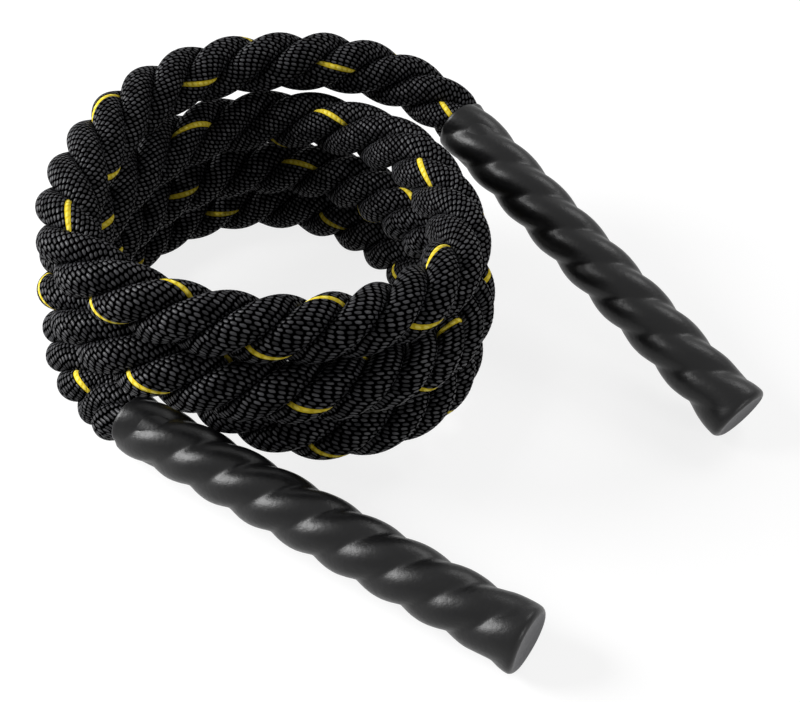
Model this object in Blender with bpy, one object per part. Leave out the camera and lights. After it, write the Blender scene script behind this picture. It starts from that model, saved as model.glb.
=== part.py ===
# Heavy jump rope: one three-strand rope, coiled as it is stored, with a shrunk sleeve over each end as a handle.
# Metres, +Z up. The origin is on the floor, under the middle of the box round the two handles.
import math

import bmesh
import bpy
from mathutils import Matrix, Vector
from mathutils.geometry import intersect_point_line

MM = 0.001

# Rope: 38 mm (1.5 inch) three-strand polyester, laid left-handed (S lay).
ROPE_DIAMETER = 38 * MM
FRONT_LAY_LENGTH = 86.8 * MM         # one full turn of the strands inside a sleeve
REAR_LAY_LENGTH = 93.7 * MM
GAP = 0.3 * MM                       # between pieces that touch on the real object
MERGE_DISTANCE = 0.01 * MM

# Coil: an oval of loops, each lying on the one below.
COIL_CENTRE = Vector((-107.5 * MM, 54.3 * MM, 0))
COIL_RADIUS = 126 * MM
COIL_NARROWING = 3.5 * MM            # radius lost per loop, going up
COIL_OVAL = 6.4 * MM                 # twice round, a stiff rope never lies in a true circle
COIL_THREE_CORNERS = 5.2 * MM
OVAL_ANGLE = 28.6
CORNER_ANGLE = 76.0
COIL_DRIFT = Vector((3.4 * MM, -3.3 * MM, 0))         # how far each loop lies from the one below
COIL_DRIFT_GROWTH = Vector((-2.7 * MM, 5.7 * MM, 0))  # the same, growing away from the middle loop
MIDDLE_LOOP = 1.7
# Where a loop lies off the oval: the wound angle, how far outward, and about half the angle it takes.
# The first one passes behind the front handle.
SLIPS = ((347.0, -42 * MM, 43.0), (778.0, 3 * MM, 25.0), (868.0, 1.6 * MM, 35.0), (1130.0, 4 * MM, 25.0))
LOOP_RISE = 40.2 * MM                # centre to centre of two loops that lie on each other
FLOOR_CUT = ROPE_DIAMETER / 10       # flat that the bottom loop rests on
START_AZIMUTH = 225.0                # the front handle's mouth, degrees from +X
COIL_FIRST = 60.0                    # wound angles where the loops begin and end
COIL_LAST = 1185.0
STRAIGHT_ANGLE = 20.0                # wound angle that the straight run at each end stands for
POINTS_PER_LOOP = 24
COIL_SIDES = 6
FLOOR_CUTTER = 520 * MM              # wider than the coil
SETTLING_ANGLE = 40.0                # the first stretch stands on its round underside, as the front lead does
# Each climb over the rope below ends at this wound angle, and takes this much of it.
CLIMBS = ((392.0, 228.0), (727.0, 234.0), (1113.0, 289.0))

# Handles: the rope's last stretch in a heat-shrunk sleeve, closed at the outer end.
SLEEVE_RADIUS = 18.8 * MM            # over a strand, outside
SLEEVE_WALL = 1.4 * MM
MOUTH_WALL = 0.8 * MM
SLEEVE_END_WALL = 2.4 * MM
END_ROUNDING = 3.2 * MM
END_HOLLOW = 1.6 * MM                # how far the end face sinks in its middle
STRAND_LENGTH = 267 * MM             # rope inside the sleeve
STATIONS = 30                        # rings along that length
TAPE_STATIONS = 2                    # the end tape covers the last ones
TAPE_THICKNESS = 1.2 * MM
LOBE_OFFSET_SHARE = 0.25             # how far a lobe's arc centre lies off the axis, of the radius
END_LOBE_OFFSET_SHARE = 0.13         # rounder, at the closed end
STRAND_TIP_ROUNDING = 0.8 * MM

# Each mouth is held up by the rope below it, and the closed end rests on the floor.
FRONT_MOUTH = Vector((-185.1 * MM, -33.5 * MM, 0))
FRONT_HEADING = -32.9                # degrees from +X
FRONT_SLOPE = -3.4
FRONT_PHASE = -15.1                  # how far the lobes are turned at the mouth
REAR_MOUTH = Vector((12.9 * MM, 182.7 * MM, 0))
REAR_HEADING = -49.5
REAR_SLOPE = -17.3
REAR_PHASE = 95.8

# Leads: the free rope between the coil and a handle, in rope diameters from the coil's centre.
FRONT_LEAD_ROUTE = ((-3.20, -0.52, 0.52), (-2.92, -1.07, 0.53), (-2.51, -1.60, 0.60))
REAR_LEAD_ROUTE = ((0.24, 3.75, 3.60), (1.07, 3.96, 3.43), (1.86, 4.01, 3.16), (2.59, 3.83, 2.88))
LEAD_SIDES = 8
LEAD_STEPS = 4                       # points of the smooth curve between two route points
LEAD_STRAIGHT_STEP = 8 * MM          # its ends leave squarely, by two of these

BLACK_ROPE = ((0.012, 0.012, 0.013), 0.55)
BLACK_SLEEVE = ((0.010, 0.010, 0.011), 0.30)
TAPE_GREY = ((0.05, 0.05, 0.055), 0.45)


def clear_scene():
    for item in list(bpy.data.objects):
        bpy.data.objects.remove(item, do_unlink=True)


def material(name, look):
    colour, roughness = look
    mat = bpy.data.materials.new(name)
    mat.use_nodes = True
    shader = mat.node_tree.nodes["Principled BSDF"]
    shader.inputs["Base Color"].default_value = (*colour, 1.0)
    shader.inputs["Roughness"].default_value = roughness
    shader.inputs["Metallic"].default_value = 0.0
    return mat


def ease(share):
    """Smooth step from 0 to 1."""
    share = min(max(share, 0.0), 1.0)
    return share * share * (3.0 - 2.0 * share)


def coil_height(wound):
    """Height of the rope's centre line. The rope settles into its flat, and the first climb makes up for it."""
    height = ROPE_DIAMETER / 2 + GAP - (FLOOR_CUT + GAP) * ease((wound - COIL_FIRST) / SETTLING_ANGLE)
    for number, (end, width) in enumerate(CLIMBS):
        rise = LOOP_RISE + (FLOOR_CUT if number == 0 else 0)
        height += rise * ease((wound - end + width) / width)
    return height


def coil_point(wound):
    """Centre of the rope where it has wound this many degrees clockwise from the front handle."""
    azimuth = math.radians(START_AZIMUTH - wound)
    loop = wound / 360.0
    radius = (COIL_RADIUS - COIL_NARROWING * loop
              + sum(slip * math.exp(-((wound - middle) / width) ** 2) for middle, slip, width in SLIPS)
              - COIL_OVAL * math.cos(2 * azimuth - math.radians(OVAL_ANGLE))
              + COIL_THREE_CORNERS * math.cos(3 * azimuth + math.radians(CORNER_ANGLE)))
    away = loop - MIDDLE_LOOP
    place = COIL_CENTRE + COIL_DRIFT * away + COIL_DRIFT_GROWTH * away * away
    place = place + Vector((radius * math.cos(azimuth), radius * math.sin(azimuth), 0))
    place.z = coil_height(wound)
    return place


def coil_points():
    """The loops, with a straight run of one rope diameter at each end."""
    count = round((COIL_LAST - COIL_FIRST) / 360.0 * POINTS_PER_LOOP)
    points = [coil_point(COIL_FIRST + (COIL_LAST - COIL_FIRST) * n / count) for n in range(count + 1)]
    into_start = (coil_point(COIL_FIRST - STRAIGHT_ANGLE) - coil_point(COIL_FIRST)).normalized()
    out_of_end = (coil_point(COIL_LAST + STRAIGHT_ANGLE) - coil_point(COIL_LAST)).normalized()
    start = points[0] + into_start * ROPE_DIAMETER
    end = points[-1] + out_of_end * ROPE_DIAMETER
    return [start] + points + [end], into_start, out_of_end


def least_gap(points, diameter):
    """Least distance between the tube and itself, measured on its points and straight runs."""
    least = math.inf
    for i, point in enumerate(points):
        for j in range(len(points) - 1):
            if min(abs(i - j), abs(i - j - 1)) < POINTS_PER_LOOP // 4:
                continue
            nearest, share = intersect_point_line(point, points[j], points[j + 1])
            share = min(max(share, 0.0), 1.0)
            nearest = points[j].lerp(points[j + 1], share)
            least = min(least, (point - nearest).length - diameter)
    return least


def tube(name, points, diameter, sides, mat):
    """A rope: a curve object with a round bevel and filled ends."""
    curve = bpy.data.curves.new(name, "CURVE")
    curve.dimensions = "3D"
    curve.bevel_depth = diameter / 2
    curve.bevel_resolution = sides // 2 - 2
    curve.use_fill_caps = True
    curve.twist_mode = "Z_UP"
    spline = curve.splines.new("POLY")
    spline.points.add(len(points) - 1)
    for slot, point in zip(spline.points, points):
        slot.co = (*point, 1.0)
    curve.materials.append(mat)
    item = bpy.data.objects.new(name, curve)
    bpy.context.scene.collection.objects.link(item)
    return item


def as_mesh(item):
    """The same tube as a mesh object, its caps joined to its sides."""
    name = item.name
    shape = bmesh.new()
    evaluated = item.evaluated_get(bpy.context.evaluated_depsgraph_get())
    shape.from_mesh(evaluated.to_mesh())
    bmesh.ops.remove_doubles(shape, verts=shape.verts[:], dist=MERGE_DISTANCE)
    bmesh.ops.recalc_face_normals(shape, faces=shape.faces[:])
    mesh = bpy.data.meshes.new(name)
    shape.to_mesh(mesh)
    shape.free()
    mesh.materials.append(item.data.materials[0])
    bpy.data.objects.remove(item, do_unlink=True)
    item = bpy.data.objects.new(name, mesh)
    bpy.context.scene.collection.objects.link(item)
    return item


def cut_flat(item, size):
    """Takes away what reaches below the floor, so that the rope has a flat to rest on."""
    bpy.ops.mesh.primitive_cube_add(size=1.0)
    cutter = bpy.context.object
    cutter.name = "floor_cutter"
    cutter.scale = (size, size, size)
    cutter.location = (COIL_CENTRE.x, COIL_CENTRE.y, -size / 2)
    cutter.hide_render = True
    cutter.display_type = "WIRE"
    cut = item.modifiers.new("floor", "BOOLEAN")
    cut.operation = "DIFFERENCE"
    cut.solver = "EXACT"
    cut.object = cutter


def smooth_route(points, steps):
    """Catmull-Rom curve through the points, from the second to the last but one."""
    curve = []
    for a, b, c, d in zip(points, points[1:], points[2:], points[3:]):
        for n in range(steps):
            t = n / steps
            curve.append(0.5 * ((2 * b) + (c - a) * t + (2 * a - 5 * b + 4 * c - d) * t ** 2
                                + (3 * b - a - 3 * c + d) * t ** 3))
    curve.append(points[-2].copy())
    return curve


def lead_points(coil_end, coil_way, route, mouth, mouth_way):
    """From the coil's end to the sleeve's mouth, leaving both squarely."""
    start = coil_end + coil_way * GAP
    end = mouth + mouth_way * GAP
    points = [start + coil_way * LEAD_STRAIGHT_STEP * n for n in (-1, 0, 1, 2)]
    points += [COIL_CENTRE + Vector(place) * ROPE_DIAMETER for place in route]
    points += [end + mouth_way * LEAD_STRAIGHT_STEP * n for n in (2, 1, 0, -1)]
    return smooth_route(points, LEAD_STEPS)


# Angles of a strand's outline from its own middle, and how far out each point lies, as a share of the lobe.
STRAND_OUTLINE_SHARES = ((-58.0, 0.80), (-46.0, 1.0), (-24.0, 1.0), (0.0, 1.0), (24.0, 1.0), (46.0, 1.0), (58.0, 0.80))
LOBE_ANGLES = (-60.0, -46.0, -24.0, 0.0, 24.0, 46.0)
STRANDS = 3
LOBE_WIDTH = 360.0 / STRANDS


def lobe_reach(angle, radius, offset_share):
    """Distance from the axis to an arc whose centre lies off the axis, at an angle from the lobe's middle."""
    offset = radius * offset_share
    arc = radius - offset
    turn = math.radians(angle)
    return offset * math.cos(turn) + math.sqrt(arc ** 2 - (offset * math.sin(turn)) ** 2)


def lay_turn(height, lay):
    """Angle of the lay at a height along a handle. It falls as the height grows: a left-hand lay."""
    phase, length = lay
    return phase - 360.0 * height / length


def ring_point(angle, reach, height):
    turn = math.radians(angle)
    return Vector((reach * math.cos(turn), reach * math.sin(turn), height))


def lobed_ring(radius, height, lay, offset_share=LOBE_OFFSET_SHARE):
    """One section of a sleeve or tape: three lobes, turned by the lay."""
    ring = []
    for strand in range(STRANDS):
        for angle in LOBE_ANGLES:
            reach = lobe_reach(angle, radius, offset_share)
            ring.append(ring_point(strand * LOBE_WIDTH + angle + lay_turn(height, lay), reach, height))
    return ring


def strand_ring(strand, radius, height, lay):
    """One section of a strand: a third of the rope, with a rounded back and a blunt tip on the axis."""
    middle = strand * LOBE_WIDTH + lay_turn(height, lay)
    ring = [ring_point(middle, STRAND_TIP_ROUNDING, height)]
    for angle, share in STRAND_OUTLINE_SHARES:
        reach = lobe_reach(angle, radius, LOBE_OFFSET_SHARE) * share
        ring.append(ring_point(middle + angle, reach, height))
    return ring


def skin(name, rings, mat, caps="flat", ring_closed=False):
    """Triangles between rings of points, each four split along the shorter way, so that facing walls are alike.
    Caps are flat, or a tip at a given point, or none where the rings close on themselves."""
    shape = bmesh.new()
    rows = [[shape.verts.new(point) for point in ring] for ring in rings]
    pairs = list(zip(rows, rows[1:]))
    if ring_closed:
        pairs.append((rows[-1], rows[0]))
    size = len(rows[0])
    for low, high in pairs:
        for n in range(size):
            m = (n + 1) % size
            if (low[n].co - high[m].co).length < (low[m].co - high[n].co).length:
                shape.faces.new((low[n], low[m], high[m]))
                shape.faces.new((low[n], high[m], high[n]))
            else:
                shape.faces.new((low[n], low[m], high[n]))
                shape.faces.new((low[m], high[m], high[n]))
    if caps == "flat":
        shape.faces.new(list(reversed(rows[0])))
        shape.faces.new(rows[-1])
    elif not ring_closed:
        for row, point, turned in ((rows[0], caps[0], True), (rows[-1], caps[1], False)):
            tip = shape.verts.new(point)
            for n in range(size):
                edge = (row[n], row[(n + 1) % size])
                shape.faces.new((edge[1], edge[0], tip) if turned else (edge[0], edge[1], tip))
    bmesh.ops.recalc_face_normals(shape, faces=shape.faces[:])
    mesh = bpy.data.meshes.new(name)
    shape.to_mesh(mesh)
    shape.free()
    mesh.shade_smooth()
    mesh.set_sharp_from_angle(angle=math.radians(50))
    mesh.materials.append(mat)
    item = bpy.data.objects.new(name, mesh)
    bpy.context.scene.collection.objects.link(item)
    return item


def station(number):
    return STRAND_LENGTH * number / STATIONS


FIRST_TAPED = STATIONS - TAPE_STATIONS
STRAND_RADIUS = SLEEVE_RADIUS - SLEEVE_WALL - GAP
TAPED_RADIUS = STRAND_RADIUS + GAP + TAPE_THICKNESS + GAP + SLEEVE_WALL


def make_strands(side, lay, mat):
    """The rope's three strands inside the sleeve."""
    items = []
    for strand in range(STRANDS):
        rings = [strand_ring(strand, STRAND_RADIUS, station(n), lay) for n in range(STATIONS + 1)]
        items.append(skin(f"{side}_strand_{strand + 1}", rings, mat))
    return items


def make_tape(side, lay, mat):
    """Tape round the cut end, which keeps the strands together under the sleeve."""
    heights = [station(n) for n in range(FIRST_TAPED, STATIONS + 1)]
    inner = [lobed_ring(STRAND_RADIUS + GAP, height, lay) for height in heights]
    outer = [lobed_ring(STRAND_RADIUS + GAP + TAPE_THICKNESS, height, lay) for height in heights]
    return skin(f"{side}_end_tape", outer + inner[::-1], mat, caps=None, ring_closed=True)


def make_sleeve(side, lay, mat):
    """Shrunk over the strands: three twisted lobes, a thin mouth, a wider taped end and a closed, rounded face."""
    outer, inner = [], []
    for n in range(STATIONS + 1):
        outside = TAPED_RADIUS if n >= FIRST_TAPED else SLEEVE_RADIUS
        wall = SLEEVE_WALL
        if n == 0:
            outside -= SLEEVE_WALL - MOUTH_WALL
            wall = MOUTH_WALL
        outer.append(lobed_ring(outside, station(n), lay))
        inner.append(lobed_ring(outside - wall, station(n), lay))
    floor = STRAND_LENGTH + GAP
    face = floor + SLEEVE_END_WALL
    inner.append(lobed_ring(TAPED_RADIUS - SLEEVE_WALL, floor, lay))
    shoulder = face - END_ROUNDING / 2
    outer.append(lobed_ring(TAPED_RADIUS - END_ROUNDING / 8, shoulder, lay, END_LOBE_OFFSET_SHARE))
    outer.append(lobed_ring(TAPED_RADIUS - END_ROUNDING / 2, face - END_ROUNDING / 8, lay, END_LOBE_OFFSET_SHARE))
    outer.append(lobed_ring(TAPED_RADIUS - END_ROUNDING, face, lay, END_LOBE_OFFSET_SHARE))
    caps = (Vector((0, 0, face - END_HOLLOW)), Vector((0, 0, floor)))
    return skin(f"{side}_sleeve", outer[::-1] + inner, mat, caps=caps)


def place_handle(side, items, mouth, heading, slope, coil_end):
    """Turns the pieces to the handle's direction, under an empty on the hinge's axis, and rests them on the floor.
    The hinge stands for the bending of the free rope, so it is half way along that."""
    turn = Matrix.Rotation(math.radians(heading), 3, "Z") @ Matrix.Rotation(math.radians(90 - slope), 3, "Y")
    lowest = min((turn @ v.co).z for item in items for v in item.data.vertices)
    mouth = Vector((mouth.x, mouth.y, -lowest))
    hinge = bpy.data.objects.new(f"{side}_hinge", None)
    hinge.location = (coil_end + mouth) / 2
    bpy.context.scene.collection.objects.link(hinge)
    for item in items:
        item.parent = hinge
        item.rotation_euler = turn.to_euler()
        item.location = mouth - hinge.location
    way = turn @ Vector((0, 0, 1))
    return mouth, way


def main():
    clear_scene()
    rope = material("black_polyester_rope", BLACK_ROPE)
    shrink = material("black_shrink_sleeve", BLACK_SLEEVE)
    tape = material("cloth_tape", TAPE_GREY)

    points, into_start, out_of_end = coil_points()
    print(f"least gap of the coil to itself: {least_gap(points, ROPE_DIAMETER) / MM:.2f} mm")
    coil = as_mesh(tube("rope_coil", points, ROPE_DIAMETER, COIL_SIDES, rope))
    cut_flat(coil, FLOOR_CUTTER)

    ends = {}
    front_lay = (FRONT_PHASE, FRONT_LAY_LENGTH)
    rear_lay = (REAR_PHASE, REAR_LAY_LENGTH)
    for side, mouth, heading, slope, lay, coil_end, coil_way in (
            ("front", FRONT_MOUTH, FRONT_HEADING, FRONT_SLOPE, front_lay, points[0], into_start),
            ("rear", REAR_MOUTH, REAR_HEADING, REAR_SLOPE, rear_lay, points[-1], out_of_end)):
        items = make_strands(side, lay, rope)
        items.append(make_tape(side, lay, tape))
        items.append(make_sleeve(side, lay, shrink))
        place, way = place_handle(side, items, mouth, heading, slope, coil_end)
        ends[side] = (place, way)
        print(f"{side} mouth {tuple(round(v, 5) for v in place)} way {tuple(round(v, 5) for v in way)}")
        pivot = (place + coil_end) / 2
        print(f"{side} pivot {tuple(round(v, 5) for v in pivot)} coil end {tuple(round(v, 5) for v in coil_end)}")

    front_place, front_way = ends["front"]
    rear_place, rear_way = ends["rear"]
    front = lead_points(points[0], into_start, FRONT_LEAD_ROUTE, front_place, -front_way)
    rear = lead_points(points[-1], out_of_end, REAR_LEAD_ROUTE, rear_place, -rear_way)
    tube("front_lead", front, ROPE_DIAMETER, LEAD_SIDES, rope)
    tube("rear_lead", rear, ROPE_DIAMETER, LEAD_SIDES, rope)


main()
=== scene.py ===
# %% [markdown]
# # A heavy jump rope
# The object is one thick rope, laid from three strands and wound in an upright coil. Each end sits in a
# plastic tube that was shrunk on with hot air and makes the handle. There is nothing else to see, so the
# likeness lies in three things: the way the coil lies, the yarns on the strands, and the soft gloss of
# the shrunk sleeves.

# %% Load the frame
import math

import bpy
import numpy as np
from mathutils import Matrix, Vector, noise


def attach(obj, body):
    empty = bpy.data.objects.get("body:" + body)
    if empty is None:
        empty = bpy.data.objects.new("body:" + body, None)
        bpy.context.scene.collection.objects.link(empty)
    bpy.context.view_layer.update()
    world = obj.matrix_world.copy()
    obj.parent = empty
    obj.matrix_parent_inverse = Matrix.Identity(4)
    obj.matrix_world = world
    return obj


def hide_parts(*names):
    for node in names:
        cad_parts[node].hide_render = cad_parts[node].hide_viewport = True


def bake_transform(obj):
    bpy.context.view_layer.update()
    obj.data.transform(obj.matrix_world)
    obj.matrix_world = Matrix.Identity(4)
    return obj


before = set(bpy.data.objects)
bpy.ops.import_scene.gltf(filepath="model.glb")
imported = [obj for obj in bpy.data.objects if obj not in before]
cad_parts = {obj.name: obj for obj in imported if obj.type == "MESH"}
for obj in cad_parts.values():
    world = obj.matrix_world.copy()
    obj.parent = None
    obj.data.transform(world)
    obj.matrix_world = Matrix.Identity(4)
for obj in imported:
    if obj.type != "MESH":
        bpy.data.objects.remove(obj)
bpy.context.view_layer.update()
MM = 0.001

# %% [markdown]
# ## The camera
# The photograph looks down on the rope from the front at about 43 degrees, from less than a metre away.
# The lens follows from how much the rope shrinks towards the back.

# %% Camera
ROPE_DIAMETER = 38 * MM
COIL_CENTRE = Vector((-107.5, 54.3, 0)) * MM
CAMERA_HEIGHT_ANGLE = 43.0
CAMERA_DISTANCE = 23.2 * ROPE_DIAMETER
CAMERA_TARGET = COIL_CENTRE + Vector((2.122, -1.335, 1.5)) * ROPE_DIAMETER
LENS_PIXELS = 1475.0
IMAGE_WIDTH = 800.0
SENSOR_WIDTH = 36.0


def add_camera():
    tilt = math.radians(CAMERA_HEIGHT_ANGLE)
    data = bpy.data.cameras.new("photo_camera")
    data.sensor_fit = "HORIZONTAL"
    data.sensor_width = SENSOR_WIDTH
    data.lens = LENS_PIXELS / IMAGE_WIDTH * SENSOR_WIDTH
    camera = bpy.data.objects.new("photo_camera", data)
    camera.location = CAMERA_TARGET + Vector((0, -math.cos(tilt), math.sin(tilt))) * CAMERA_DISTANCE
    camera.rotation_euler = (math.radians(90) - tilt, 0, 0)
    bpy.context.scene.collection.objects.link(camera)
    bpy.context.scene.camera = camera
    return camera


print("lens", round(add_camera().data.lens, 1), "mm")

# %% [markdown]
# ## The rope's centre line
# A coil like this is thrown by hand, so it is nearly a circle but not quite: each loop lies on the one
# below, a little smaller and a little to one side, and it climbs where it has to cross its own start.
# It could be drawn point by point, but a formula keeps the loops even and is easy to correct. It is the
# part's own formula, with other slips, and with sags, of a few millimetres where the photographed coil
# lies off it. The free stretches at both ends have no formula: their points are listed one by one. One
# smooth curve then runs through all of them, because a rope this stiff has no corners.

# %% Coil and free stretches
START_AZIMUTH = 225.0
COIL_RADIUS = 126 * MM
COIL_NARROWING = 3.5 * MM
COIL_OVAL, OVAL_ANGLE = 6.4 * MM, 28.6
COIL_THREE_CORNERS, CORNER_ANGLE = 5.2 * MM, 76.0
COIL_DRIFT = Vector((3.4, -3.3, 0)) * MM
COIL_DRIFT_GROWTH = Vector((-2.7, 5.7, 0)) * MM
MIDDLE_LOOP = 1.7
CLIMBS = ((392.0, 228.0), (727.0, 234.0), (1113.0, 289.0))
LOOP_RISE = 40.2 * MM
# Slips go outward and sags down: the wound angle, how many millimetres, and about half the angle it takes.
SLIPS = ((125.0, -3.0, 45.0), (270.0, -2.5, 25.0), (325.0, 1.0, 14.0), (347.0, -42.0, 43.0),
         (410.0, 3.0, 25.0), (590.0, 2.0, 30.0), (752.0, 4.0, 22.0), (880.0, 3.5, 35.0),
         (905.0, 3.0, 18.0), (1092.0, 3.0, 20.0))
SAGS = ((333.0, 2.0, 26.0), (868.0, 1.0, 30.0), (908.0, -3.0, 18.0), (1015.0, 1.0, 30.0))
COIL_FIRST, COIL_LAST, COIL_STEP = 42.0, 1204.0, 15.0
FRONT_MOUTH = Vector((-185.1, -33.5, 35.48)) * MM
REAR_MOUTH = Vector((12.9, 182.7, 98.47)) * MM
FRONT_HEADING, FRONT_SLOPE = -32.9, -3.4
REAR_HEADING, REAR_SLOPE = -49.5, -17.3
FRONT_LEAD_ROUTE = ((-3.20, -0.52, 0.52), (-2.92, -1.07, 0.53), (-2.51, -1.60, 0.60))
REAR_LEAD_ROUTE = ((0.24, 3.75, 3.60), (1.07, 3.96, 3.43), (1.86, 4.01, 3.16), (2.59, 3.83, 2.88))
INSIDE_SLEEVE = (12 * MM, 30 * MM)


def ease(share):
    """Smooth step from 0 to 1."""
    share = min(max(share, 0.0), 1.0)
    return share * share * (3.0 - 2.0 * share)


def local_shift(shifts, wound):
    """The slips or sags at one wound angle, added up."""
    return MM * sum(size * math.exp(-((wound - middle) / width) ** 2) for middle, size, width in shifts)


def coil_point(wound):
    """Centre of the rope after so many degrees of winding, clockwise from the front handle."""
    azimuth = math.radians(START_AZIMUTH - wound)
    loop = wound / 360.0
    radius = (COIL_RADIUS - COIL_NARROWING * loop + local_shift(SLIPS, wound)
              - COIL_OVAL * math.cos(2 * azimuth - math.radians(OVAL_ANGLE))
              + COIL_THREE_CORNERS * math.cos(3 * azimuth + math.radians(CORNER_ANGLE)))
    away = loop - MIDDLE_LOOP
    place = COIL_CENTRE + COIL_DRIFT * away + COIL_DRIFT_GROWTH * away ** 2
    place += Vector((math.cos(azimuth), math.sin(azimuth), 0)) * radius
    climbed = sum(ease((wound - end + width) / width) for end, width in CLIMBS)
    place.z = ROPE_DIAMETER / 2 + LOOP_RISE * climbed - local_shift(SAGS, wound)
    return place


def handle_turn(heading, slope):
    """Turns +Z to a handle's direction, as the part does."""
    return Matrix.Rotation(math.radians(heading), 3, "Z") @ Matrix.Rotation(math.radians(90 - slope), 3, "Y")


def route_points():
    """Every point that the rope runs through, from inside the front sleeve to inside the rear one."""
    front_way = handle_turn(FRONT_HEADING, FRONT_SLOPE) @ Vector((0, 0, 1))
    rear_way = handle_turn(REAR_HEADING, REAR_SLOPE) @ Vector((0, 0, 1))
    points = [FRONT_MOUTH + front_way * depth for depth in INSIDE_SLEEVE[::-1]] + [FRONT_MOUTH]
    points += [COIL_CENTRE + Vector(place) * ROPE_DIAMETER for place in FRONT_LEAD_ROUTE[::-1]]
    steps = int((COIL_LAST - COIL_FIRST) / COIL_STEP) + 1
    points += [coil_point(COIL_FIRST + COIL_STEP * n) for n in range(steps)]
    points += [COIL_CENTRE + Vector(place) * ROPE_DIAMETER for place in REAR_LEAD_ROUTE]
    points += [REAR_MOUTH] + [REAR_MOUTH + rear_way * depth for depth in INSIDE_SLEEVE]
    return np.array(points)


ROUTE = route_points()
print("route points", len(ROUTE))

# %% [markdown]
# A natural cubic spline bends as little as it can between its points, which is what a stiff rope does.
# Along it the script carries a pair of directions square to the rope, turning them only as much as the
# rope bends. Measured from these, the strands twist only as much as their lay says.

# %% Smooth curve and its directions
LINE_STEP = 0.5 * MM
SPLINE_SAMPLES = 8000


def spline_through(points):
    """Natural cubic spline, by its second derivatives, and sampled closely."""
    knots = np.concatenate([[0], np.cumsum(np.linalg.norm(np.diff(points, axis=0), axis=1))])
    gap = np.diff(knots)
    size = len(points)
    matrix = np.eye(size)
    right = np.zeros((size, 3))
    slopes = np.diff(points, axis=0) / gap[:, None]
    for n in range(1, size - 1):
        matrix[n, n - 1:n + 2] = gap[n - 1] / 6, (gap[n - 1] + gap[n]) / 3, gap[n] / 6
        right[n] = slopes[n] - slopes[n - 1]
    bend = np.linalg.solve(matrix, right)
    samples = np.linspace(0, knots[-1], SPLINE_SAMPLES)
    low = np.clip(np.searchsorted(knots, samples) - 1, 0, size - 2)
    share = ((samples - knots[low]) / gap[low])[:, None]
    square = (gap[low] ** 2)[:, None] / 6
    return ((1 - share) * points[low] + share * points[low + 1]
            + square * (((1 - share) ** 3 - (1 - share)) * bend[low] + (share ** 3 - share) * bend[low + 1]))


def evenly(points, step):
    """The same line with points a fixed length apart."""
    along = np.concatenate([[0], np.cumsum(np.linalg.norm(np.diff(points, axis=0), axis=1))])
    marks = np.linspace(0, along[-1], int(along[-1] / step) + 1)
    return marks, np.stack([np.interp(marks, along, points[:, axis]) for axis in range(3)], axis=1)


def carried_directions(points):
    """Tangent, and two directions square to it that never turn about it."""
    tangent = np.gradient(points, axis=0)
    tangent /= np.linalg.norm(tangent, axis=1)[:, None]
    side = np.zeros_like(points)
    current = np.array([0.0, 0.0, 1.0])
    for n, way in enumerate(tangent):
        current = current - way * current.dot(way)
        current /= np.linalg.norm(current)
        side[n] = current
    return tangent, side, np.cross(tangent, side)


ALONG, LINE = evenly(spline_through(ROUTE), LINE_STEP)
TANGENT, SIDE, OTHER = carried_directions(LINE)
FRONT_MOUTH_AT = INSIDE_SLEEVE[-1]
REAR_MOUTH_AT = ALONG[-1] - INSIDE_SLEEVE[-1]


def at(values, along):
    """Values of a table along the rope, at any lengths."""
    return np.stack([np.interp(along, ALONG, values[:, axis]) for axis in range(3)], axis=-1)


def nearest_length(point):
    return ALONG[np.argmin(np.linalg.norm(LINE - np.array(point), axis=1))]


COIL_FROM = nearest_length(coil_point(COIL_FIRST))
COIL_TO = nearest_length(coil_point(COIL_LAST))
print("rope between the mouths", round(REAR_MOUTH_AT - FRONT_MOUTH_AT, 3), "m")
print("coil from", round(COIL_FROM, 3), "to", round(COIL_TO, 3))

# %% [markdown]
# ## The lay
# Three strands wind round each other left-handed. One full turn takes about two and a third rope
# diameters, and from place to place between 1.8 and 2.8. In each strand the yarns wind the other way,
# about three turns for each turn of the strand, so that on the rope's outside they run nearly along it.
# One yarn of one strand is yellow: it shows as a short dash wherever it comes to the outside. An even
# lay would be simpler, but on the real rope the dashes aren't evenly spaced. So two tables, spread
# evenly over the rope, give the length of a turn in millimetres and the extra turns of the yellow yarn.
# The lengths were chosen from the spacing of the dashes in the photograph. The turns were
# smoothed and rounded from what a measurement of those dashes asked for.

# %% Turns of the lay
LAY_LENGTHS = (84, 83, 84, 95, 81, 77, 92, 91, 87, 88, 80, 70,
               79, 92, 100, 106, 102, 102, 80, 86, 102, 97, 91, 96)
LAY_START = 0.896
YARN_TURNS = 3.0
TRACER_TURNS = (1.05, 1.05, 1.05, 0.90, 0.95, 1.15, 1.38, 1.40, 1.9, 1.65, 1.15, 1.85,
                2.35, 2.35, 2.60, 2.3, 2.33, 2.2, 2.05, 2.05, 1.9, 1.55, 1.48, 1.40)
STRANDS = 3


def lay_turns():
    """At each point of the line: turns that the strands and the yarns have made, and the lay length."""
    shares = np.linspace(0, 1, len(LAY_LENGTHS))
    length = np.interp(ALONG / ALONG[-1], shares, np.array(LAY_LENGTHS) * MM)
    per_step = np.diff(ALONG) / ((length[1:] + length[:-1]) / 2)
    turns = np.concatenate([[0], np.cumsum(per_step)])
    tracer = np.interp(ALONG / ALONG[-1], shares, TRACER_TURNS)
    return turns, length, tracer + YARN_TURNS * turns


TURNS, LAY_LENGTH, TRACER = lay_turns()
print("turns of the lay", round(TURNS[-1], 2))

# %% [markdown]
# ## A strand as a mesh
# A strand is a round bundle of yarns on a helix. It could be a tube swept along a curve, but its yarns
# would then be only a picture on it. Here its mesh has a column of points for each yarn's groove and two
# for its back, and the columns follow the yarns, so that ridges stay sharp with few points. Where two
# strands press on each other the bundle goes flat: the script works out every point in a straight rope
# first, stops it at the plane between two strands, and only then bends the rope.

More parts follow.
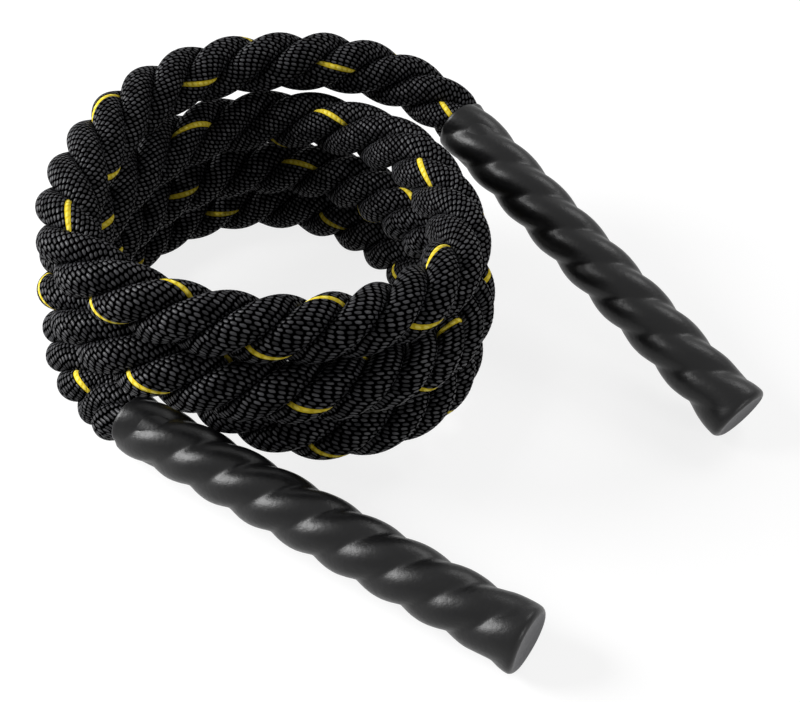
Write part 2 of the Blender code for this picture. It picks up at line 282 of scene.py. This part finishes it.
# %% Strand shape
STRAND_OFFSET = 0.246 * ROPE_DIAMETER
STRAND_RADIUS = 0.254 * ROPE_DIAMETER
YARNS = 16
YARN_POINTS = (0.0, 0.30, 0.70)
YARN_HEIGHT = 0.55 * MM
COLUMNS = np.array([yarn + part for yarn in range(YARNS) for part in YARN_POINTS])
GROOVES = COLUMNS % 1 == 0
TRACER_WIDER = 0.12
# The yellow yarn's two grooves move apart, and the nearest points of its neighbours by half as much.
TRACER_COLUMNS = [0, 3, 4, -1]
TRACER_MOVES = np.array([-1.0, 1.0, 0.5, -0.5])
SQUEEZED = 0.91
SQUEEZE_LENGTH = 9 * MM
STRAND_GAP = 0.12 * MM
print("columns of points round a strand", len(COLUMNS))


def squeeze(along):
    """The rope is thinner where a sleeve grips it."""
    from_mouth = np.minimum(along - FRONT_MOUTH_AT, REAR_MOUTH_AT - along)
    share = np.clip(from_mouth / SQUEEZE_LENGTH, 0, 1)
    return SQUEEZED + (1 - SQUEEZED) * share * share * (3 - 2 * share)


def strand_points(strand, along):
    """Rings of points of one strand, at lengths along the rope."""
    columns = COLUMNS.copy()
    if strand == 0:
        columns[TRACER_COLUMNS] += TRACER_WIDER * TRACER_MOVES
    columns /= YARNS
    turned = np.interp(along, ALONG, TURNS)
    pitch = np.interp(along, ALONG, LAY_LENGTH)
    around = 2 * np.pi * (LAY_START + strand / STRANDS - turned)[:, None]
    yarn = 2 * np.pi * (columns[None] + np.interp(along, ALONG, TRACER)[:, None] - 0.5 / YARNS)
    rate = -2 * np.pi / pitch[:, None]
    scale = squeeze(along)[:, None]
    offset = STRAND_OFFSET * scale
    radius = (STRAND_RADIUS - np.where(GROOVES, YARN_HEIGHT, 0)[None]) * scale
    stretch = np.sqrt(1 + (offset * rate) ** 2)
    outward = offset + radius * np.cos(yarn)
    sideways = radius * np.sin(yarn) / stretch
    lengthwise = along[:, None] - radius * np.sin(yarn) * offset * rate / stretch
    reach = np.hypot(outward, sideways)
    middle = around + rate * (lengthwise - along[:, None])
    angle = around + np.arctan2(sideways, outward) - middle
    limit = np.pi / STRANDS - STRAND_GAP / np.maximum(reach, STRAND_GAP * 2)
    angle = np.clip(angle, -limit, limit) + middle
    centre = at(LINE, lengthwise)
    side = at(SIDE, lengthwise)
    other = at(OTHER, lengthwise)
    return centre + reach[..., None] * (np.cos(angle)[..., None] * side + np.sin(angle)[..., None] * other)


# %% [markdown]
# The rings become a mesh with a face between each two columns and two rings, and one at each end. A map
# that follows the yarns, across in yarns and along in metres, lets the material draw their plies.

# %% Strand mesh
RING_STEP = 1.3 * MM
LEAST_RINGS = 8


def mesh_object(name, points, faces):
    mesh = bpy.data.meshes.new(name)
    mesh.from_pydata([tuple(point) for point in points], [], faces)
    item = bpy.data.objects.new(name, mesh)
    bpy.context.scene.collection.objects.link(item)
    return item


def strand_mesh(name, strand, start, end, materials):
    """One strand between two lengths, closed at both ends, with a map that follows its yarns."""
    along = np.linspace(start, end, max(int((end - start) / RING_STEP), LEAST_RINGS) + 1)
    rings = strand_points(strand, along)
    rows, width = rings.shape[:2]
    faces = []
    for row in range(rows - 1):
        low, high = row * width, (row + 1) * width
        faces += [(low + n, low + (n + 1) % width, high + (n + 1) % width, high + n) for n in range(width)]
    faces += [tuple(range(width))[::-1], tuple(range((rows - 1) * width, rows * width))]
    item = mesh_object(name, rings.reshape(-1, 3), faces)
    mesh = item.data
    across = np.append(COLUMNS, YARNS)
    column = np.tile(np.arange(width), rows - 1)
    row = np.repeat(np.arange(rows - 1), width)
    u = np.stack([across[column], across[column + 1], across[column + 1], across[column]], axis=1)
    v = np.stack([along[row], along[row], along[row + 1], along[row + 1]], axis=1)
    sides = np.stack([u, v], axis=2).reshape(-1)
    end_caps = np.zeros(2 * 2 * width)
    uv = mesh.uv_layers.new(name="yarn")
    uv.data.foreach_set("uv", np.concatenate([sides, end_caps]).astype(np.float32))
    slots = np.zeros(len(mesh.polygons), dtype=np.int32)
    if strand == 0:
        slots[:len(column)] = column // len(YARN_POINTS) == 0
    for material in materials:
        mesh.materials.append(material)
    mesh.polygons.foreach_set("material_index", slots)
    mesh.shade_smooth()
    mesh.update()
    return item


print("rings along the coil", int((COIL_TO - COIL_FROM) / RING_STEP) + 1)

# %% [markdown]
# ## Materials
# Colours are written as the eye sees them and turned to linear light by one function. One small function
# adds every node.

# %% Colour and node helpers
def linear(colour):
    """An sRGB hex colour as linear red, green, blue and alpha."""
    parts = [int(colour[n:n + 2], 16) / 255 for n in (1, 3, 5)]
    return [part / 12.92 if part <= 0.04045 else ((part + 0.055) / 1.055) ** 2.4 for part in parts] + [1.0]


def new_material(name, colour, roughness):
    """A plain material, with its node tree and its shader."""
    material = bpy.data.materials.new(name)
    material.use_nodes = True
    shader = material.node_tree.nodes["Principled BSDF"]
    shader.inputs["Base Color"].default_value = linear(colour)
    shader.inputs["Roughness"].default_value = roughness
    return material, material.node_tree, shader


def add_node(tree, kind, settings=None, **links):
    """A shader node with its settings. A link is another node's socket, or a plain value. It goes to the
    input of that name, with _ for a space, or to a numbered input as i0, i1 and so on."""
    node = tree.nodes.new("ShaderNode" + kind)
    for key, value in (settings or {}).items():
        setattr(node, key, value)
    for key, value in links.items():
        socket = node.inputs[int(key[1:])] if key[1:].isdigit() else node.inputs[key.replace("_", " ")]
        if isinstance(value, bpy.types.NodeSocket):
            tree.links.new(value, socket)
        else:
            socket.default_value = value
    return node


print("mid grey in linear light", round(linear("#808080")[0], 3))

# %% [markdown]
# ### Polyester yarn
# Each yarn is plied from bright filaments, and the plies cross it as short slanted bars, like small
# bricks. On black filament the eye sees a dull glint on the back of each ply, and black between them.
# That glint could come from gloss alone, but every reflection here shows the white ground, which would
# grey the whole rope. So the glint is a painted highlight, a paler colour on the back of each ply, and
# the black between plies is deepened with painted shade. The bars are also in the bump, with only a
# little gloss. No two plies' painted glints are equally bright.

# %% Yarn materials
PLY_LENGTH = 2.2 * MM
PLY_SLANT = 0.35
PLY_HEIGHT = 0.5 * MM
BAR_ROUNDNESS = 0.6
BACK_FROM, BACK_TO = 0.45, 0.82
DULLEST_PLY = 0.3
BETWEEN_PLIES_ROUGHNESS = 0.9
PLY_GLOSS = 0.35


def yarn_material(name, dark, light, roughness, ply_depth):
    material, tree, shader = new_material(name, dark, roughness)
    place = add_node(tree, "UVMap", {"uv_map": "yarn"}).outputs[0]
    parts = add_node(tree, "SeparateXYZ", i0=place).outputs
    yarn = add_node(tree, "Math", {"operation": "FLOOR"}, i0=parts[0]).outputs[0]
    across = add_node(tree, "Math", {"operation": "FRACT"}, i0=parts[0]).outputs[0]
    along = add_node(tree, "Math", {"operation": "DIVIDE"}, i0=parts[1], i1=PLY_LENGTH).outputs[0]
    shift = add_node(tree, "TexWhiteNoise", {"noise_dimensions": "1D"}, W=yarn).outputs["Value"]
    slanted = add_node(tree, "Math", {"operation": "MULTIPLY_ADD"}, i0=across, i1=PLY_SLANT, i2=along)
    plies = add_node(tree, "Math", {"operation": "ADD"}, i0=slanted.outputs[0], i1=shift).outputs[0]

    half_waves = add_node(tree, "Math", {"operation": "MULTIPLY"}, i0=plies, i1=math.pi)
    wave = add_node(tree, "Math", {"operation": "SINE"}, i0=half_waves.outputs[0])
    ridge = add_node(tree, "Math", {"operation": "ABSOLUTE"}, i0=wave.outputs[0])
    bar = add_node(tree, "Math", {"operation": "POWER"}, i0=ridge.outputs[0], i1=BAR_ROUNDNESS)
    half_wave = add_node(tree, "Math", {"operation": "MULTIPLY"}, i0=across, i1=math.pi)
    arch = add_node(tree, "Math", {"operation": "SINE"}, i0=half_wave.outputs[0])
    back = add_node(tree, "Math", {"operation": "POWER"}, i0=arch.outputs[0], i1=BAR_ROUNDNESS)
    brick = add_node(tree, "Math", {"operation": "MULTIPLY"}, i0=bar.outputs[0],
                     i1=back.outputs[0]).outputs[0]

    number = add_node(tree, "Math", {"operation": "FLOOR"}, i0=plies)
    cell = add_node(tree, "CombineXYZ", i0=number.outputs[0], i1=yarn).outputs[0]
    chance = add_node(tree, "TexWhiteNoise", {"noise_dimensions": "2D"}, Vector=cell).outputs["Value"]
    bright = add_node(tree, "Math", {"operation": "MULTIPLY_ADD"}, i0=chance, i1=1 - DULLEST_PLY,
                      i2=DULLEST_PLY)
    face = add_node(tree, "MapRange", {"interpolation_type": "SMOOTHSTEP"}, Value=brick,
                    From_Min=BACK_FROM, From_Max=BACK_TO).outputs[0]
    painted_glint_and_gloss = add_node(tree, "Math", {"operation": "MULTIPLY"}, i0=face, i1=bright.outputs[0]).outputs[0]

    # Painted highlight: the light colour on each ply's back is a painted glint, and the dark colour between
    # plies is painted shade.
    colour = add_node(tree, "Mix", {"data_type": "RGBA"}, Factor=painted_glint_and_gloss, i6=linear(dark), i7=linear(light))
    rough = add_node(tree, "MapRange", Value=face, To_Min=BETWEEN_PLIES_ROUGHNESS, To_Max=roughness)
    gloss = add_node(tree, "Math", {"operation": "MULTIPLY"}, i0=painted_glint_and_gloss, i1=PLY_GLOSS)
    bump = add_node(tree, "Bump", Strength=ply_depth, Distance=PLY_HEIGHT, Height=brick)
    tree.links.new(colour.outputs[2], shader.inputs["Base Color"])
    tree.links.new(rough.outputs[0], shader.inputs["Roughness"])
    tree.links.new(gloss.outputs[0], shader.inputs["Specular IOR Level"])
    tree.links.new(bump.outputs[0], shader.inputs["Normal"])
    return material


# On the black yarn, #3a3a3d is a painted glint on the ply backs, and #010101 is its black deepened by
# painted shade between plies. The yellow pair paints the same.
BLACK_YARN = yarn_material("black_polyester_filament", "#010101", "#3a3a3d", 0.45, 1.0)
YELLOW_YARN = yarn_material("yellow_tracer_yarn", "#dcc232", "#ffee66", 0.5, 0.5)
print("yarn materials", BLACK_YARN.name, YELLOW_YARN.name)

# %% [markdown]
# ## The rope
# The three strands of the coil ride on the coil. At each end the same strands run on to a handle as
# pieces of their own, and turn smoothly from the coil's place to the handle's.

# %% Strands
INTO_SLEEVE = 7 * MM


def blend_over(item):
    """Bakes the piece's place into its mesh."""
    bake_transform(item)


def make_rope():
    """The coil's three strands, and the six of the free stretches."""
    both = (BLACK_YARN, YELLOW_YARN)
    coil, leads = [], []
    for strand in range(STRANDS):
        number = strand + 1
        item = strand_mesh(f"coil_strand_{number}", strand, COIL_FROM, COIL_TO, both)
        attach(item, "coil")
        coil.append(item)
        into_front = FRONT_MOUTH_AT - INTO_SLEEVE
        front = strand_mesh(f"front_lead_strand_{number}", strand, into_front, COIL_FROM, both)
        blend_over(front)
        rear = strand_mesh(f"rear_lead_strand_{number}", strand, COIL_TO, REAR_MOUTH_AT + INTO_SLEEVE, both)
        blend_over(rear)
        leads += [front, rear]
    return coil, leads


COIL_STRANDS, LEAD_STRANDS = make_rope()
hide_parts("rope_coil")
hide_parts("front_lead")
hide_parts("rear_lead")

# %% [markdown]
# ## The sleeves
# A heat-shrunk tube takes the shape of what is inside it, but softly: it follows the backs of the three
# strands and bridges the grooves between them. At the mouth the cut edge is thin. At the closed end the
# tube was pressed shut over the rope's cut face, so the face is flat, sinks a little, and has a
# rounded rim. It could be a cylinder, twisted and dented with operators. Here a formula gives each ring
# of points instead, because the lobes have to turn with the lay of each handle's own strands.

# %% Sleeve shape
FRONT_LAY, REAR_LAY = 86.8 * MM, 93.7 * MM
FRONT_PHASE, REAR_PHASE = -15.1 / 360, 95.8 / 360
SLEEVE_LENGTH = 269.7 * MM
SLEEVE_RADIUS = 18.8 * MM
SLEEVE_WALL = 1.4 * MM
MOUTH_WALL = 0.8 * MM
FLARE = 1.5 * MM
FLARE_LENGTH = 22 * MM
LOBE_SHARE = 0.25
END_LOBE_SHARE = 0.12
RIM = 3.6 * MM
RIM_TURNS = (90, 72, 54, 36, 18)
FACE_SHARES = (0.03, 0.2, 0.4, 0.6, 0.78, 0.9)
FACE_HOLLOW = 1.5 * MM
HOLLOW_CURVE = 2.2
SLEEVE_COLUMNS = 120
SLEEVE_RINGS = 170
INNER_RINGS = 40
MOUTH_HEIGHTS = (0.3 * MM, 4 * MM, 12 * MM, 30 * MM)
FULL_WALL_FROM = 40 * MM
GROOVE_SOFTNESS = 0.55 * MM
DENT_SPACING = 8 * MM
DENT_REACH = 2.4
BROAD_DENT, FINE_DENT = 0.10 * MM, 0.04 * MM
FINE_DENTS_CLOSER = 3.1
END_DENTS_SHARE = 0.5


def lobed_radius(angle, radius, share):
    """Three arcs joined softly, as a shrunk tube bridges the grooves."""
    total = np.zeros_like(angle)
    offset = radius * share
    arc = radius - offset
    for strand in range(STRANDS):
        turn = angle - 2 * np.pi * strand / STRANDS
        reach = offset * np.cos(turn) + np.sqrt(arc ** 2 - (offset * np.sin(turn)) ** 2)
        total += np.exp((reach - radius) / GROOVE_SOFTNESS)
    return radius + GROOVE_SOFTNESS * np.log(total)


def wrinkle(angle, height, seed):
    """Small dents that stay in a shrunk tube, a few millimetres across."""
    out = np.zeros_like(angle)
    for index, turn in enumerate(angle):
        across = Vector((math.cos(turn), math.sin(turn), 0)) * DENT_REACH
        spot = across + Vector((0, 0, height / DENT_SPACING + seed))
        out[index] = noise.noise(spot) * BROAD_DENT + noise.noise(spot * FINE_DENTS_CLOSER) * FINE_DENT
    return out


def sleeve_ring(height, radius, share, lay, seed, dents=1.0):
    """A ring of points at a height from the mouth, turned as the strands are there."""
    angle = np.arange(SLEEVE_COLUMNS) * 2 * np.pi / SLEEVE_COLUMNS
    phase, length = lay
    reach = lobed_radius(angle - 2 * np.pi * (phase - height / length), radius, share)
    reach += dents * wrinkle(angle, height, seed)
    return np.stack([reach * np.cos(angle), reach * np.sin(angle), np.full_like(angle, height)], axis=1)


def sleeve_rings(lay, seed):
    """From the middle of the closed face, over the rim, along the outside to the mouth and back inside."""
    rings = []
    rim_radius = SLEEVE_RADIUS + FLARE - RIM
    for share in FACE_SHARES:
        height = SLEEVE_LENGTH - FACE_HOLLOW * (1 - share ** HOLLOW_CURVE)
        rings.append(sleeve_ring(height, rim_radius * share, END_LOBE_SHARE, lay, seed, END_DENTS_SHARE))
    for turn in np.radians(RIM_TURNS):
        height = SLEEVE_LENGTH - RIM + RIM * math.sin(turn)
        radius = rim_radius + RIM * math.cos(turn)
        rings.append(sleeve_ring(height, radius, END_LOBE_SHARE, lay, seed, END_DENTS_SHARE))
    for height in np.linspace(SLEEVE_LENGTH - RIM, MOUTH_WALL, SLEEVE_RINGS):
        share = ease((height - SLEEVE_LENGTH + RIM + FLARE_LENGTH) / FLARE_LENGTH)
        lobes = LOBE_SHARE + (END_LOBE_SHARE - LOBE_SHARE) * share
        rings.append(sleeve_ring(height, SLEEVE_RADIUS + FLARE * share, lobes, lay, seed))
    rings.append(sleeve_ring(0.0, SLEEVE_RADIUS - MOUTH_WALL / 2, LOBE_SHARE, lay, seed))
    for height in MOUTH_HEIGHTS:
        rings.append(sleeve_ring(height, SLEEVE_RADIUS - MOUTH_WALL, LOBE_SHARE, lay, seed, 0.0))
    for height in np.linspace(FULL_WALL_FROM, SLEEVE_LENGTH - 3 * SLEEVE_WALL, INNER_RINGS):
        rings.append(sleeve_ring(height, SLEEVE_RADIUS - SLEEVE_WALL, LOBE_SHARE, lay, seed, 0.0))
    return np.array(rings)


def sleeve_mesh(name, mouth, heading, slope, lay, seed):
    """A sleeve in its place, closed, with the duller end material on its end face, grey with painted light.
    """
    rings = sleeve_rings(lay, seed)
    turn = np.array(handle_turn(heading, slope))
    rows, width = rings.shape[:2]
    points = rings.reshape(-1, 3) @ turn.T + np.array(mouth)
    faces = []
    for row in range(rows - 1):
        low, high = row * width, (row + 1) * width
        faces += [(low + n, high + n, high + (n + 1) % width, low + (n + 1) % width) for n in range(width)]
    faces += [tuple(range(width)), tuple(range((rows - 1) * width, rows * width))[::-1]]
    item = mesh_object(name, points, faces)
    item.data.materials.append(SHRUNK)
    item.data.materials.append(PRESSED_END_PAINTED_LIGHT)
    slots = np.zeros(len(faces), dtype=np.int32)
    slots[:len(FACE_SHARES) * width] = 1
    slots[(rows - 1) * width] = 1
    item.data.polygons.foreach_set("material_index", slots)
    item.data.shade_smooth()
    return item


print("rings in a sleeve", len(sleeve_rings((FRONT_PHASE, FRONT_LAY), 0.0)))

# %% [markdown]
# ### Shrunk polyolefin
# The tube is a soft black plastic with a satin gloss. Shrinking leaves it faintly mottled, so its
# highlights have ragged edges. On the end face it was pressed flat, which leaves it duller; its grey there
# is painted light.
# Its reflections are set weaker than a plastic's usual ones, so that the white ground that they show
# leaves it black.

# %% Sleeve material
FINE_MOTTLE, BROAD_MOTTLE = 2.381 * MM, 9.09 * MM
MOTTLE_DEPTH = 0.5 * MM
MOTTLE_STRENGTH = 0.35
SLEEVE_GLOSS = 0.3


def sleeve_material(name, colour, rough_from, rough_to):
    material, tree, shader = new_material(name, colour, rough_from)
    place = add_node(tree, "TexCoord").outputs["Object"]
    fine = add_node(tree, "TexNoise", Vector=place, Scale=1 / FINE_MOTTLE, Detail=4.0, Roughness=0.55)
    broad = add_node(tree, "TexNoise", Vector=place, Scale=1 / BROAD_MOTTLE, Detail=2.0, Roughness=0.5)
    both = add_node(tree, "Math", {"operation": "ADD"}, i0=fine.outputs[0], i1=broad.outputs[0])
    bump = add_node(tree, "Bump", Strength=MOTTLE_STRENGTH, Distance=MOTTLE_DEPTH, Height=both.outputs[0])
    rough = add_node(tree, "MapRange", Value=fine.outputs[0], To_Min=rough_from, To_Max=rough_to)
    tree.links.new(bump.outputs[0], shader.inputs["Normal"])
    tree.links.new(rough.outputs[0], shader.inputs["Roughness"])
    shader.inputs["Specular IOR Level"].default_value = SLEEVE_GLOSS
    return material


SHRUNK = sleeve_material("shrunk_polyolefin", "#0b0b0c", 0.29, 0.45)
# The end face's grey colour is painted light, the light that the face catches; its greater roughness is its
# own.
PRESSED_END_PAINTED_LIGHT = sleeve_material("pressed_end_painted_light", "#646466", 0.5, 0.7)
FRONT_SLEEVE = sleeve_mesh("front_sleeve_skin", FRONT_MOUTH, FRONT_HEADING, FRONT_SLOPE,
                           (FRONT_PHASE, FRONT_LAY), 0.0)
REAR_SLEEVE = sleeve_mesh("rear_sleeve_skin", REAR_MOUTH, REAR_HEADING, REAR_SLOPE,
                          (REAR_PHASE, REAR_LAY), 40.0)
for item, node, body in ((FRONT_SLEEVE, "front_sleeve", "front_handle"),
                         (REAR_SLEEVE, "rear_sleeve", "rear_handle")):
    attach(item, body)
    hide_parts(node)
print("faces in a sleeve", len(FRONT_SLEEVE.data.polygons))

# %% [markdown]
# ## Inside the sleeves
# The strands in the sleeves and the tape round their cut ends can't be seen. They keep their
# solids and get a plain black yarn and a plain cloth tape.

# %% Inner pieces
INNER_YARN_WIDTH, INNER_YARN_HEIGHT = 1.667 * MM, 0.3 * MM
TAPE_THREAD, TAPE_THREAD_HEIGHT = 0.714 * MM, 0.1 * MM


def plain_yarn():
    material, tree, shader = new_material("black_polyester_inside", "#161617", 0.5)
    place = add_node(tree, "TexCoord").outputs["Object"]
    yarns = add_node(tree, "TexNoise", Vector=place, Scale=1 / INNER_YARN_WIDTH, Detail=2.0)
    bump = add_node(tree, "Bump", Strength=0.5, Distance=INNER_YARN_HEIGHT, Height=yarns.outputs[0])
    tree.links.new(bump.outputs[0], shader.inputs["Normal"])
    return material


def cloth_tape():
    material, tree, shader = new_material("cotton_cloth_tape", "#4a4a4c", 0.7)
    place = add_node(tree, "TexCoord").outputs["Object"]
    weave = add_node(tree, "TexChecker", Vector=place, Scale=1 / TAPE_THREAD)
    bump = add_node(tree, "Bump", Strength=0.4, Distance=TAPE_THREAD_HEIGHT, Height=weave.outputs[1])
    tree.links.new(bump.outputs[0], shader.inputs["Normal"])
    return material


INSIDE_YARN, TAPE = plain_yarn(), cloth_tape()
INNER_PIECES = [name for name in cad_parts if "_strand_" in name or name.endswith("_end_tape")]
for name in INNER_PIECES:
    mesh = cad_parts[name].data
    mesh.materials.clear()
    mesh.materials.append(TAPE if name.endswith("tape") else INSIDE_YARN)
print("inner pieces", len(INNER_PIECES))

# %% [markdown]
# ## Floor and light
# The photograph is a cut-out on white. More light would make a floor white, but would wash out the black
# rope too. So the floor is a plain grey that keeps the shadow, and glows white only for what the camera,
# a reflection or a ray through glass sees of it, and the world behind it does nearly the same. A large
# soft lamp stands at the left, where the photographed plies are brightest, and two weak ones light the
# back and the front from the right.

# %% Stage
FLOOR_SIZE = 8.0
FLOOR_GLOW = 0.82
WORLD_FILL, WORLD_SHOWN = 0.13, 0.86
LAMP_AIM = Vector((0.0, 0.0, 0.05))


def shown_ray(tree):
    """1 for a ray that shows the ground: the camera's, a reflection's or one through glass."""
    rays = add_node(tree, "LightPath").outputs
    seen = rays["Is Camera Ray"]
    for name in ("Is Glossy Ray", "Is Transmission Ray"):
        seen = add_node(tree, "Math", {"operation": "MAXIMUM"}, i0=seen, i1=rays[name]).outputs[0]
    return seen


def add_floor():
    bpy.ops.object.select_all(action="DESELECT")
    bpy.ops.mesh.primitive_plane_add(size=FLOOR_SIZE, location=(0, 0, 0))
    floor = bpy.context.object
    floor.name = "pale_floor"
    material, tree, shader = new_material("pale_paper", "#808080", 0.9)
    glow = add_node(tree, "Math", {"operation": "MULTIPLY"}, i0=shown_ray(tree), i1=FLOOR_GLOW)
    tree.links.new(glow.outputs[0], shader.inputs["Emission Strength"])
    shader.inputs["Emission Color"].default_value = (1, 1, 1, 1)
    floor.data.materials.append(material)


def add_lamp(name, place, size, power):
    """A round soft lamp, its place and size in metres and its power in watts."""
    data = bpy.data.lights.new(name, "AREA")
    data.shape = "DISK"
    data.size = size
    data.energy = power
    lamp = bpy.data.objects.new(name, data)
    lamp.location = place
    lamp.rotation_euler = (LAMP_AIM - Vector(place)).to_track_quat("-Z", "Y").to_euler()
    bpy.context.scene.collection.objects.link(lamp)


def pale_world():
    """Nearly white to the camera and in reflections, where the floor ends, and else a low even light."""
    world = bpy.data.worlds.new("pale_world")
    bpy.context.scene.world = world
    world.use_nodes = True
    tree = world.node_tree
    strength = add_node(tree, "MapRange", Value=shown_ray(tree), To_Min=WORLD_FILL, To_Max=WORLD_SHOWN)
    shader = tree.nodes["Background"]
    tree.links.new(strength.outputs[0], shader.inputs["Strength"])
    shader.inputs["Color"].default_value = (1, 1, 1, 1)


add_floor()
pale_world()
add_lamp("key_softbox", (-1.28, 0.1, 0.85), 0.8, 32.0)
add_lamp("rear_softbox", (0.8, 0.7, 1.1), 0.6, 5.0)
add_lamp("front_softbox", (1.1, -1.0, 0.45), 0.5, 5.0)
print("lamps", len(bpy.data.lights))

# %% [markdown]
# ## Finish
# The picture is shown with plain colours.

# %% Finish
bpy.context.scene.view_settings.view_transform = "Standard"
